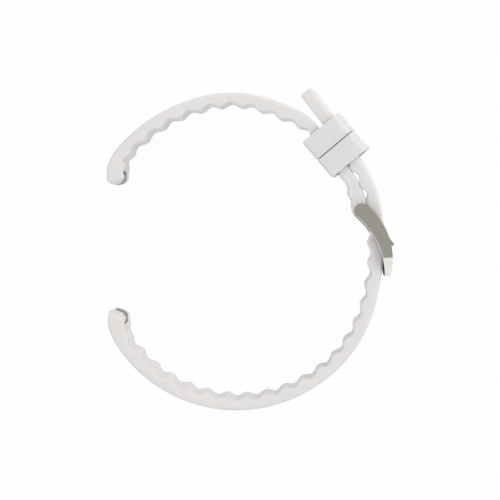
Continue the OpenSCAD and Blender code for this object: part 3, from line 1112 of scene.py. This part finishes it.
@dataclass
class BuckleHalf(RubberHalf):
    """The shorter half, looped round the buckle's bar."""

    leans: Point = (0.38, 6.0, 12.5)
    bar_s: float = -15.4
    loop_r: float = 1.45
    bar_bore: float = 0.85
    slot: Spot = (4.0, 2.5)

    def ribbed(self, s: float) -> float:
        """A loop round the bar, then ribs."""
        ribs = super().ribbed(s)
        return ribs + (2 * self.loop_r - ribs) * ease((self.bar_s + 4 - s) / 3)

    def straight_tools(self) -> Iterator[Piece]:
        """The recess, and the slot that leaves the tang free.

        Returns:
            The cutters.
        """
        yield from super().straight_tools()
        bar_x = self.bar_s - self.clasp_end
        length = self.slot[0] + bar_x + 2
        middle = (bar_x + self.slot[0] - length / 2, 0, 0)
        slot = start("tang_slot", Shape.CUBE, (length, 8, self.slot[1]), middle)
        with Edit(slot) as edit:
            edit.edges(lambda a, b: along_y(a, b) and a.x > bar_x)
            edit.round_edges(0.7, 5)
        yield slot

    def bent_tools(self) -> Iterator[Piece]:
        """The pins' bores and the bar's bore."""
        yield from super().bent_tools()
        yield disc("bar_bore", self.bar_bore, BAR_AXIS, 24, 48)


@dataclass
class TailHalf(RubberHalf):
    """The longer half, with the adjustment holes and the plain tip."""

    holes: int = 8
    used_hole: int = 2
    hole_pitch: float = 7.0
    first_hole: float = 5.5
    hole: Spot = (3.6, 2.4)
    tang_way: Point = (-3.3, 6.2, 11.4)
    tang_room: Spot = (0.65, 1.8)

    def straight_tools(self) -> Iterator[Piece]:
        """The recess and the adjustment holes.

        Returns:
            The cutters.
        """
        yield from super().straight_tools()
        for i in range(self.holes):
            if i != self.used_hole:
                x = self.first_hole + i * self.hole_pitch - self.clasp_end
                corner = self.hole[1] / 2 - 0.01
                yield flared_tool("hole", self.hole, corner, (x, 0, 0), 5, 0.3, -self.side, sides=8)

    def bent_tools(self) -> Iterator[Piece]:
        """The pins' bores, and the hole in use, which leans along the tang.

        Returns:
            The cutters.
        """
        yield from super().bent_tools()
        low, high, reach = self.tang_way
        near, far = self.tang_room
        bx, by = BAR_AXIS
        tool = start("tang_way", Shape.CUBE, (reach, 1, self.hole[1]), (bx + reach / 2, by, 0))
        with Edit(tool) as edit:
            for lean, lift, y in ((low, near, by - 0.5), (high, far, by + 0.5)):
                along, across = cos(radians(lean)), sin(radians(lean))
                foot = (bx - lift * across, by + lift * along)
                for x, out in ((bx, 0), (bx + reach, reach)):
                    edit.corners(lambda p: hypot(p.x - x, p.y - y) < 0.05)
                    edit.move((foot[0] + out * along - x, foot[1] + out * across - y, 0))
        yield tool


# ---- keepers


@dataclass
class Keeper:
    """A rubber loop round both halves, from x on; its seat rib has an x, a rise and a width."""

    name: str
    node: str
    body: str
    x: float
    seat: Point | None = None
    length: float = 4.9
    width: float = 22.0
    height: float = 10.0
    wrist_y: float = 0.35
    wall: float = 1.1
    turned: float = 2.5
    inner_width: float = 18.5
    corners: tuple[float, ...] = (1.8, 0.8, 0.8, 0.4)
    rim: float = 0.22

    def make(self) -> None:
        """Model the loop and hand it over: a block whose inset ends are bridged, with rounded corners."""
        middle = (self.x + self.length / 2, self.height / 2, 0)
        side, top = self.width / 2 - CLOSE, self.height - CLOSE
        within, roof, low = self.width / 2 - 1, self.height - self.wall - 0.1, self.wall + 0.1
        loop = start(self.name, Shape.CUBE, (self.length, self.height, self.width), middle)
        with Edit(loop) as edit:
            edit.faces(lambda m, n: abs(n.x) > 0.9)
            OPS.inset(thickness=self.wall, use_individual=True)
            edit.scale((1, 1, self.inner_width / (self.width - 2 * self.wall)), middle)
            OPS.bridge_edge_loops()
            reach = self.length - CLOSE
            tests = (
                lambda p: abs(p.z) > side and p.y > top,
                lambda p: abs(p.z) > side and p.y < CLOSE,
                lambda p: abs(p.z) < within and self.height - 0.9 > p.y > roof,
                lambda p: abs(p.z) < within and 0.5 < p.y < low,
            )
            for radius, test in zip(self.corners, tests):
                edit.edges(lambda a, b: abs(a.x - b.x) > reach and test(a) and test(b))
                edit.round_edges(radius, 8)
            edit.edges(lambda a, b: abs(a.x - b.x) < CLOSE, above=60)
            edit.round_edges(self.rim, 3)
            edit.tidy()
        if self.seat is not None:
            x, rise, across = self.seat
            size = (0.9, rise + 0.6, across)
            rib = start("seat_rib", Shape.CUBE, size, (x, self.wall + (rise - 0.6) / 2, 0))
            with Edit(rib) as edit:
                edit.edges(lambda a, b: a.y > self.wall and b.y > self.wall)
                edit.round_edges(0.2, 3)
            carve(loop, rib, how="UNION")
        with Edit(loop) as edit:
            edit.corners()
            edit.move((0, self.wrist_y, 0))
            edit.turn(self.turned, (0, 0, 0))
        SETTLED.ease_over(loop)
        SETTLED.skew_over(loop)
        coat(loop, KEEPER_RUBBER)
        hand_over(loop, self.node, self.body, 35)


# ---- buckle


@dataclass
class Buckle:
    """The steel frame and its tang, both on the spring bar; an arc has its radius and its lean."""

    bar: Spot = BAR_AXIS
    width: float = 22.0
    inner_width: float = 18.5
    length: float = 14.3
    edge_lean: float = -34.0
    opening: float = 8.5
    opening_lean: float = -28.0
    eye_r: float = 1.65
    outer_arc: Spot = (14.9, -76.1)
    inner_arc: Spot = (17.0, -77.6)
    corner_cut: Spot = (4.0, 2.6)
    relief: Point = (-6.73297, -36.9511, 48.0)
    pin_bore: float = 0.47
    bore_depth: float = 1.2
    edge: float = 0.1
    side_edge: float = 0.2
    tang_width: float = 2.0
    tang_thickness: float = 0.85
    tang_length: float = 10.2
    tang_taper: Spot = (2.2, 0.3)
    tang_loop: Spot = (1.45, 0.8)
    tang_heel: float = 0.6
    tang_lean: float = -1.8
    tang_edge: float = 0.1

    def off_bar(self, degrees: float, distance: float) -> Spot:
        """The point at a distance from the bar in a direction."""
        a = radians(degrees)
        return self.bar[0] + distance * cos(a), self.bar[1] + distance * sin(a)

    def block(self) -> Piece:
        """The frame's full block: one corner extruded along an outline of arcs, filled and given its width.

        Returns:
            The block, cut off at the far edge.
        """
        outer_r, outer_lean = self.outer_arc
        inner_r, inner_lean = self.inner_arc
        outer_centre = self.off_bar(outer_lean, outer_r - self.eye_r)
        inner_centre = self.off_bar(inner_lean, inner_r + self.eye_r)
        sweep = degrees((self.length + 6) / outer_r)
        outline = arc(outer_centre, outer_r, outer_lean + 180 - sweep, outer_lean + 180, 48)
        outline += arc(self.bar, self.eye_r, outer_lean + 180, inner_lean + 360, 28)[1:]
        outline += arc(inner_centre, inner_r, inner_lean + 180, inner_lean + 180 - sweep, 48)[1:]
        block = start("buckle", Shape.PLANE, (1, 1, 1), (*outline[0], -self.width / 2))
        a = radians(self.edge_lean)
        with Edit(block) as edit:
            edit.corners()
            OPS.merge(type="CENTER")
            edit.corners()
            for before, here in zip(outline, outline[1:]):
                step = (here[0] - before[0], here[1] - before[1], 0)
                OPS.extrude_vertices_move(TRANSFORM_OT_translate={"value": step})
            OPS.select_all(action="SELECT")
            OPS.edge_face_add()
            OPS.select_all(action="SELECT")
            edit.extrude((0, 0, self.width))
            edit.tidy()
            edit.slice_off((*self.off_bar(self.edge_lean, self.length), 0), (cos(a), sin(a), 0))
            edit.tidy()
        return block

    def from_hollow(self, p: Vector) -> float:
        """How far a point lies outside the arc of the hollow side.

        Args:
            p: The point.

        Returns:
            The distance, negative inside the arc.
        """
        radius, lean = self.inner_arc
        x, y = self.off_bar(lean, radius + self.eye_r)
        return hypot(p.x - x, p.y - y) - radius

    def chamfer_sides(self, edit: Edit) -> None:
        """Chamfer both side faces brightly along the hollow, whose own faces take a much darker steel as a
        painted dark reflection.

        Args:
            edit: The block in edit mode.
        """
        side = self.width / 2 - CLOSE
        edit.faces(lambda m, n: abs(self.from_hollow(m)) < 0.05 and abs(n.z) < 0.1)
        # Painted dark reflection: the hollow's faces take the darker steel.
        edit.paint(2)
        edit.edges(
            lambda p, q: min(abs(p.z), abs(q.z)) > side and abs(self.from_hollow((p + q) / 2)) < 0.05,
            above=60,
        )
        edit.round_edges(self.side_edge, 1, slot=0)
        edit.faces(lambda m, n: 0.5 < abs(n.z) < 0.9 and self.from_hollow(m) < self.side_edge)
        edit.paint(1)

    def cut_corners(self, edit: Edit) -> None:
        """Slice off the two far corners, and put the cuts in the polished slot.

        Args:
            edit: The block in edit mode.
        """
        along, across = self.corner_cut
        a = radians(self.edge_lean)
        foot = self.off_bar(self.edge_lean, self.length - along)
        for hand in (-1, 1):
            way = Vector((across * cos(a), across * sin(a), hand * along)).normalized()
            edit.slice_off((*foot, hand * self.width / 2), way)
            edit.faces(lambda m, n: n.dot(way) > 0.999)
            edit.paint(1)

    def make_frame(self) -> None:
        """Model the frame and hand it over: its block, opened between the arms, with eased edges."""
        body = self.block()
        coat(body, SATIN_STEEL, POLISHED_STEEL, HOLLOW_SHADE_STEEL)
        with Edit(body) as edit:
            self.chamfer_sides(edit)
            self.cut_corners(edit)
            edit.tidy()
        room = (30, 60, self.inner_width)
        middle = (*self.off_bar(self.opening_lean, self.opening - room[0] / 2), 0)
        lean = (0, 0, radians(self.opening_lean))
        carve(
            body,
            start("between_arms", Shape.CUBE, room, middle, lean),
            disc("relief", self.relief[2], self.relief, self.inner_width, 720),
            disc("bores", self.pin_bore, self.bar, self.inner_width + 2 * self.bore_depth, 32),
        )
        with Edit(body) as edit:
            edit.tidy()
        limit = radians(50)
        apply_modifier(body, "BEVEL", width=self.edge, segments=2, limit_method="ANGLE", angle_limit=limit)
        hand_over(body, "buckle_frame", "frame", 30)

    def make_tang(self) -> None:
        """Model the tang and hand it over: a flat bar with a rounded tip, joined to its loop."""
        bx, by = self.bar
        outer, bore = self.tang_loop
        run, rise = self.tang_taper
        tip, top, half = bx + self.tang_length, by + bore + self.tang_thickness, self.tang_width / 2
        straight = self.tang_length - run
        size = (straight, self.tang_thickness, self.tang_width)
        tang = start("tang", Shape.CUBE, size, (bx + straight / 2, top - self.tang_thickness / 2, 0))
        with Edit(tang) as edit:
            edit.faces(lambda m, n: n.x > 0.9)
            edit.extrude((run, 0, 0))
            edit.corners(lambda p: p.x > tip - CLOSE and p.y < top - self.tang_thickness + CLOSE)
            edit.move((0, rise, 0))
            edit.edges(lambda p, q: min(p.x, q.x) > tip - CLOSE and abs(p.z - q.z) < CLOSE)
            edit.round_edges(half - 0.001, 12)
            edit.edges(lambda p, q: max(p.x, q.x) < bx + CLOSE and min(p.y, q.y) > top - CLOSE)
            edit.round_edges(self.tang_heel, 8)
            edit.corners()
            edit.turn(self.tang_lean, (bx, by, 0))
        carve(tang, disc("loop", outer, self.bar, self.tang_width, 96), how="UNION")
        carve(tang, disc("bore", bore, self.bar, 4, 96))
        side, rounded = half - CLOSE, tip - 1.2
        with Edit(tang) as edit:
            edit.tidy()
            edit.merge_flats()
            edit.edges(
                lambda p, q: abs(p.z - q.z) < 0.5 and (min(abs(p.z), abs(q.z)) > side or p.x > rounded),
                above=50,
            )
            edit.round_edges(self.tang_edge, 3)
            edit.tidy()
        coat(tang, SATIN_STEEL)
        hand_over(tang, "buckle_tang", "tang", 40)


# ---- spring bars


@dataclass
class SpringBars:
    """The parts of the three spring bars, which keep their own shape; pressed has spring, joint, travel."""

    pressed: tuple[tuple[str, str, float], ...] = (
        ("buckle_bar_spring", "upper_tip_slide", 1.0),
        ("buckle_end_bar_spring", "buckle_end_release", 1.3),
        ("tail_end_bar_spring", "tail_end_release", 1.3),
    )

    def dress(self, nodes: Mapping[str, Piece]) -> None:
        """Give each part its finish.

        Args:
            nodes: The loaded parts by name.
        """
        for name in (n for n in nodes if "_bar_" in n):
            finish = SPRING_WIRE if name.endswith("_spring") else TURNED_STEEL
            nodes[name].data.materials.clear()
            coat(nodes[name], finish)
            LOG.info("%s: kept, %s", name, finish.name)

    def press(self, nodes: Mapping[str, Piece]) -> None:
        """Give each spring in the table its own copy of its mesh.

        Args:
            nodes: The loaded parts by name.
        """
        for name, joint, travel in self.pressed:
            low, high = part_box(name)
            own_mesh(nodes[name])


# ---- studio


@dataclass(frozen=True)
class Floor(Finish):
    """A white floor that keeps a soft shadow."""

    shown: float = 0.965
    matt: Colour = (0.86, 0.86, 0.86, 1)

    def dress(self, board: Board) -> Socket:
        """Matt white, mixed with plain white where the camera or a reflection sees it.

        Args:
            board: The material's board.

        Returns:
            The shader's output.
        """
        matt = board.node("BsdfDiffuse", Color=self.matt)
        plain = board.node("Emission", Color=(1, 1, 1, 1), Strength=1.0)
        both = board.node("MixShader", Fac=board.maths("MULTIPLY", board.seen(), self.shown))
        board.feed(both.inputs[1], matt.outputs[0])
        board.feed(both.inputs[2], plain.outputs[0])
        return both.outputs[0]


@dataclass(frozen=True)
class Lamp:
    """A soft square lamp aimed at the strap."""

    name: str
    azimuth: float
    height: float
    distance: float
    size: float
    power: float

    def hang(self) -> None:
        """Add the lamp, turned towards the strap."""
        light = bpy.data.lights.new(self.name, "AREA")
        light.shape = "SQUARE"
        light.size = self.size
        light.energy = self.power
        holder = bpy.data.objects.new(self.name, light)
        bpy.context.scene.collection.objects.link(holder)
        a, h = radians(self.azimuth), radians(self.height)
        way = Vector((cos(a) * cos(h), sin(a) * cos(h), sin(h)))
        holder.location = way * self.distance
        holder.rotation_euler = way.to_track_quat("Z", "Y").to_euler()


@dataclass
class Studio:
    """Floor, lamps, world and camera."""

    lamps: tuple[Lamp, ...] = (
        Lamp("key", 40, 33, 0.9, 0.6, 2.8),
        Lamp("fill", 215, 55, 0.9, 0.8, 1.3),
        Lamp("kicker", -70, 23, 0.8, 0.35, 0.12),
    )
    world_light: float = 0.66
    eye: Point = (0.01196, 0.00912, 0.642)
    aim: Point = (-0.00027, 0.0002, 0.022)
    lens: float = 208.1
    floor_radius: float = 3.0
    floor_drop: float = 0.00002

    def lay_floor(self) -> None:
        """A wide round floor under the strap."""
        OPS.primitive_circle_add(
            vertices=96, radius=self.floor_radius, fill_type="NGON", location=(0, 0, -self.floor_drop)
        )
        floor = bpy.context.object
        floor.name = floor.data.name = "floor"
        coat(floor, Floor("floor_white"))

    def light_world(self) -> None:
        """An even world: white where it is seen, softer where it lights."""
        world = bpy.data.worlds.new("studio")
        bpy.context.scene.world = world
        world.use_nodes = True
        world.node_tree.nodes.clear()
        board = Board(world.node_tree)
        more = board.maths("MULTIPLY", board.seen(), 1 - self.world_light)
        strength = board.maths("ADD", more, self.world_light)
        sky = board.node("Background", Color=(1, 1, 1, 1), Strength=strength)
        board.node("OutputWorld", Surface=sky.outputs[0])

    def set_camera(self) -> None:
        """A long lens straight over the inside of the ring."""
        data = bpy.data.cameras.new("camera")
        data.lens = self.lens
        data.sensor_width = 36
        data.clip_start = 0.01
        holder = bpy.data.objects.new("camera", data)
        bpy.context.scene.collection.objects.link(holder)
        holder.location = self.eye
        back = (Vector(self.eye) - Vector(self.aim)).normalized()
        right = Vector((0, 1, 0)).cross(back).normalized()
        holder.rotation_euler = Matrix((right, back.cross(right), back)).transposed().to_euler()
        bpy.context.scene.camera = holder
        bpy.context.scene.view_settings.view_transform = "Standard"

    def build(self) -> None:
        """Set up the whole studio."""
        self.lay_floor()
        for lamp in self.lamps:
            lamp.hang()
        self.light_world()
        self.set_camera()


# ---- the strap


def main() -> None:
    """Build the strap, its studio and its camera."""
    logging.basicConfig(level=logging.INFO, format="%(name)s: %(message)s")
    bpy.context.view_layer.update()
    Studio().build()

    BuckleHalf(
        name="buckle_half",
        node="buckle_strap",
        side=1,
        face_y=4.55,
        to_watch=(Bend(5.5, 0), Bend(6, 13), Bend(6, 50), Bend(14, 26), Bend(23.5, 35), Bend(8.2, 8.6)),
        to_clasp=(Bend(5, 0), Bend(13, -22)),
        clasp_end=-16.85,
        watch_end=63.2,
        rib_pitch=5.0,
        rib_crest=9.1,
        ribs_from=(-13.4, 3),
        widens=(9.8, 46),
        clasp_corners=(1.45, 1.8, 0.0),
        end_corners=(1.6, 1.5),
        fuller=(Swell(0.4, end=-6.2, fade=2), Swell(0.35, end=26, fade=8, start=7.5, growth=3)),
    ).make()
    TailHalf(
        name="tail_half",
        node="tail_strap",
        side=-1,
        face_y=7.7,
        to_watch=(Bend(5, 0), Bend(12, -23.6), Bend(24, -47.7), Bend(69.5, -30.7), Bend(6.7, -8)),
        to_clasp=(Bend(13.45, 0),),
        clasp_end=-13.45,
        watch_end=117.2,
        rib_pitch=4.7,
        rib_crest=24.7,
        ribs_from=(2.45, 4),
        widens=(58, 52),
        clasp_corners=(0.6, 0.6, 1.2),
        end_corners=(0.5, 1.6),
        fuller=(
            Swell(0.2, end=26, fade=6, start=2, growth=6),
            Swell(0.35, end=31, fade=5, start=15, growth=4),
            Swell(0.16, end=52, fade=15, start=15, growth=5),
            Swell(0.35, end=-3, fade=4),
        ),
        lifted=(
            Swell(0.82, end=6.5, fade=11.5),
            Swell(0.2, end=-3, fade=4),
            Swell(0.2, end=65, fade=20, start=33, growth=6),
        ),
    ).make()

    Keeper("keeper_fixed", "fixed_keeper", "strap", 0.075, seat=(3.4, 0.7, 9.0)).make()
    Keeper("keeper_free", "free_keeper", "sliding_keeper", -4.975).make()

    buckle = Buckle()
    buckle.make_frame()
    buckle.make_tang()

    bars = SpringBars()
    bars.dress(frame["nodes"])
    bars.press(frame["nodes"])


if __name__ == "__main__":
    main()
